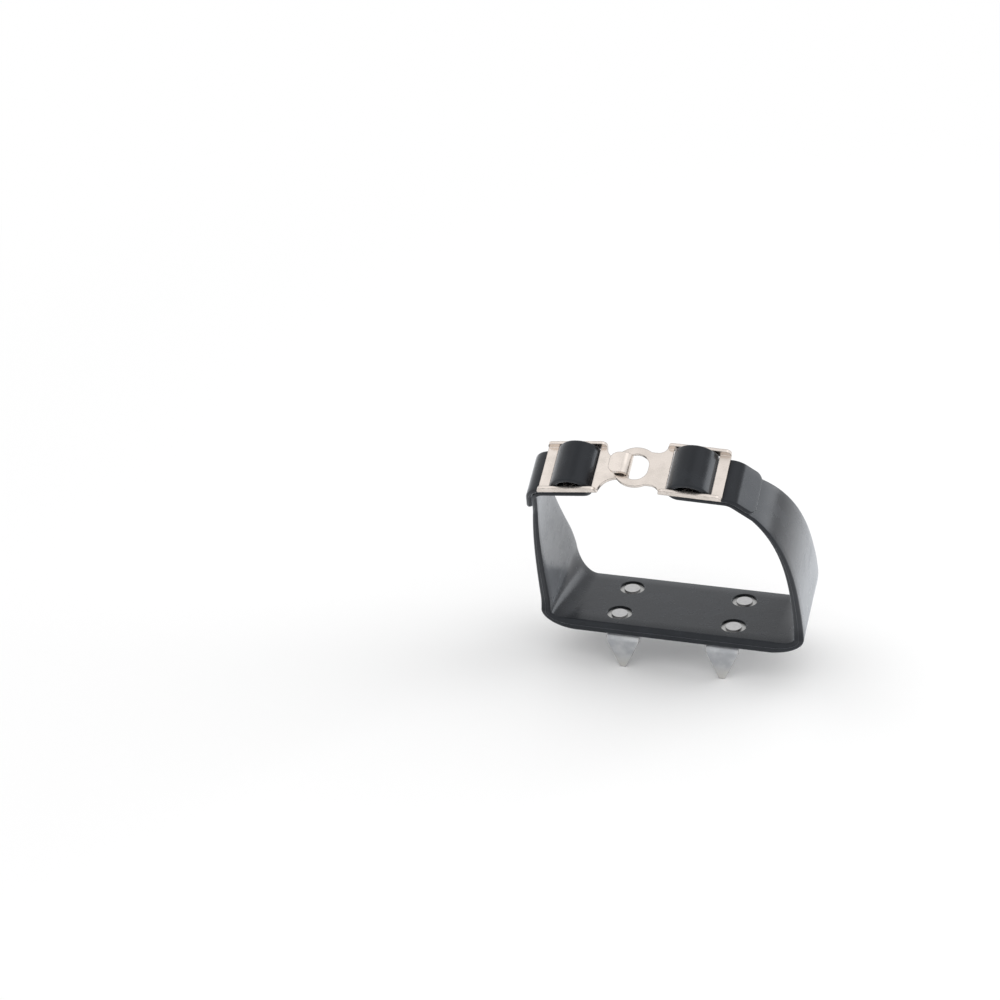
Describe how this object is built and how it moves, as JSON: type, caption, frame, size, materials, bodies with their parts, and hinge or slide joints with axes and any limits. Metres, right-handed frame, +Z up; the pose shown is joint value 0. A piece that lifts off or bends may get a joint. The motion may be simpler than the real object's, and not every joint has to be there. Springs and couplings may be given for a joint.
{
  "type": "instep crampon",
  "caption": "Instep crampon: a rubber band with a toothed steel plate riveted under its pad, closed over the instep by stamped slides that join with a hook and an eye.",
  "frame": {"origin": "middle of the pad's top face, where the sole sits", "axes": "+X towards the eye side of the buckle, +Y towards the heel, +Z up, away from the ground"},
  "size_m": [0.1052, 0.0736, 0.112],
  "materials": {
    "rubber": "satin moulded black",
    "slide_steel": "satin nickel plated",
    "tooth_steel": "zinc plated, pressed",
    "rivet_steel": "bright zinc plated",
    "washer_steel": "bright zinc plated"
  },
  "bodies": {
    "base": {"band": "rubber", "eye_slide": "slide_steel", "tooth_plate": "tooth_steel", "front_hook_rivet": "rivet_steel", "front_eye_rivet": "rivet_steel", "rear_hook_rivet": "rivet_steel", "rear_eye_rivet": "rivet_steel", "front_hook_washer": "washer_steel", "front_eye_washer": "washer_steel", "rear_hook_washer": "washer_steel", "rear_eye_washer": "washer_steel"},
    "hook_end": {"hook_strap": "rubber", "hook_slide": "slide_steel"}
  },
  "joints": [
    {"name": "hook_draw", "type": "slide", "parent": "base", "child": "hook_end", "axis": [0.9848, -0.0868, 0.1504], "range_m": [0, 0.0047], "stiffness_N_per_m": 2500, "springref_m": -0.004}
  ]
}
